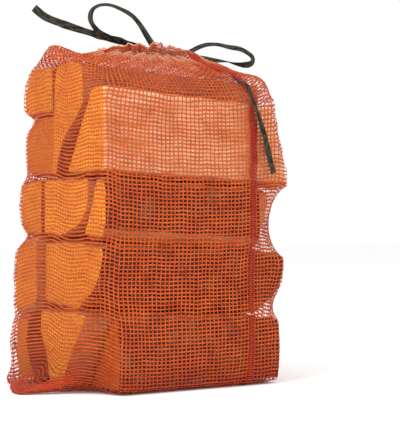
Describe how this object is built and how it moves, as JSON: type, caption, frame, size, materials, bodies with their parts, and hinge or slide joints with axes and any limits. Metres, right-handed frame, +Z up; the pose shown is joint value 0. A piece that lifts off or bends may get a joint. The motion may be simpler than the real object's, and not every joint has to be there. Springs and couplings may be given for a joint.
{
  "type": "firewood bundle",
  "caption": "Upright bundle of split firewood logs in a see-through woven net bag, its mouth gathered and tied with a flat drawstring bow.",
  "frame": {"origin": "on the floor under the middle of the bag, at the bottom centre of the box round everything but the tape's free loops and tails", "axes": "+X along the logs, from the end that shows beside the front to the far one; +Y from the front of the stack to its back; +Z up"},
  "size_m": [0.3286, 0.2264, 0.467],
  "materials": {
    "split_wood": "raw split wood with sawn ends and rough dark bark",
    "net": "woven orange-red plastic net, slightly see-through, satin",
    "tape": "flat woven dark olive tape, matt"
  },
  "bodies": {
    "root": {"log_top_front": "split_wood", "log_top_middle": "split_wood", "log_top_back_upper": "split_wood", "log_top_back_lower": "split_wood", "log_second_front": "split_wood", "log_second_middle": "split_wood", "log_second_back": "split_wood", "log_third_front": "split_wood", "log_third_back": "split_wood", "log_bottom_front": "split_wood", "log_bottom_corner": "split_wood", "log_bottom_back": "split_wood", "net_bag": "net", "drawstring_knot": "tape", "drawstring_hem_run": "tape", "drawstring_loop_left": "tape", "drawstring_loop_right": "tape", "drawstring_tail_left": "tape", "drawstring_tail_right": "tape"}
  },
  "joints": []
}
